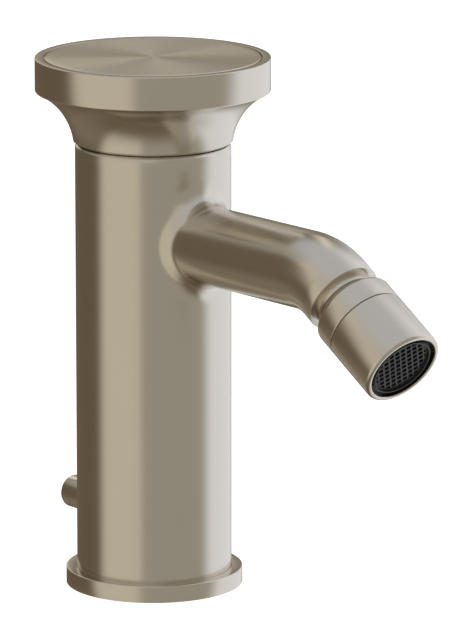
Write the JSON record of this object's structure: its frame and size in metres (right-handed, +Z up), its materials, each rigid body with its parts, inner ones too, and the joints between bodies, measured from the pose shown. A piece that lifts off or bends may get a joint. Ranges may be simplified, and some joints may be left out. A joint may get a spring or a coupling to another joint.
{
  "type": "bidet mixer",
  "caption": "Deck-mounted bidet mixer: round column, turning disc handle on top, bent spout with a swivelling ball-jointed outlet, and a rear lift knob in an upright slot.",
  "frame": {"origin": "On the column's axis, at the height of the deck that the foot ring stands on", "axes": "+Z up along the column, -Y along the spout (so the lift knob is on the +Y side), +X to the right of someone who stands in front and faces the outlet"},
  "size_m": [0.0678, 0.1535, 0.155],
  "materials": {
    "nickel": "brushed warm nickel plate on brass",
    "brass": "bare machined brass",
    "steel": "plain stainless steel",
    "rubber": "black seal rubber",
    "black_plastic": "black acetal",
    "white_plastic": "natural acetal",
    "ceramic": "lapped alumina"
  },
  "bodies": {
    "body": {"column": "nickel", "foot_ring": "nickel", "foot_gasket": "rubber", "spout": "nickel", "ball_nipple": "nickel", "nipple_o_ring": "rubber", "slot_liner": "black_plastic", "rod_guide": "white_plastic", "cartridge_base": "white_plastic", "port_seals": "rubber", "fixed_disc": "ceramic", "disc_seal": "rubber", "cartridge_housing": "white_plastic", "housing_o_ring": "rubber", "cartridge_nut": "brass", "glide_ring": "white_plastic"},
    "handle": {"handle_hub": "nickel", "top_plate": "nickel", "plate_o_ring": "rubber", "handle_screw": "steel", "stem_adapter": "white_plastic", "cartridge_stem": "brass", "stem_o_rings": "rubber", "disc_carrier": "black_plastic", "moving_disc": "ceramic"},
    "ball_ring": {"ball_seat_ring": "white_plastic"},
    "outlet": {"swivel_collar": "nickel", "ball_seal": "rubber", "outlet_shell": "nickel", "flow_regulator": "white_plastic", "aerator_washer": "rubber", "aerator_body": "black_plastic", "aerator_jet_plate": "white_plastic", "aerator_grid": "black_plastic"},
    "lift": {"lift_rod": "steel", "rod_clamp": "brass", "clamp_screw": "steel", "knob_stem": "steel", "lift_knob": "nickel"}
  },
  "joints": [
    {"name": "handle_turn", "type": "hinge", "parent": "body", "child": "handle", "pos_m": [0, 0, 0.14], "axis": [0, 0, 1], "range_deg": [0, 100]},
    {"name": "outlet_pitch", "type": "hinge", "parent": "body", "child": "ball_ring", "pos_m": [0, -0.0904, 0.09441], "axis": [1, 0, 0], "range_deg": [-7.5, 7.5]},
    {"name": "outlet_yaw", "type": "hinge", "parent": "ball_ring", "child": "outlet", "pos_m": [0, -0.0904, 0.09441], "axis": [0, -0.527, 0.8499], "range_deg": [-7.5, 7.5]},
    {"name": "knob_lift", "type": "slide", "parent": "body", "child": "lift", "axis": [0, 0, 1], "range_m": [0, 0.02]}
  ]
}
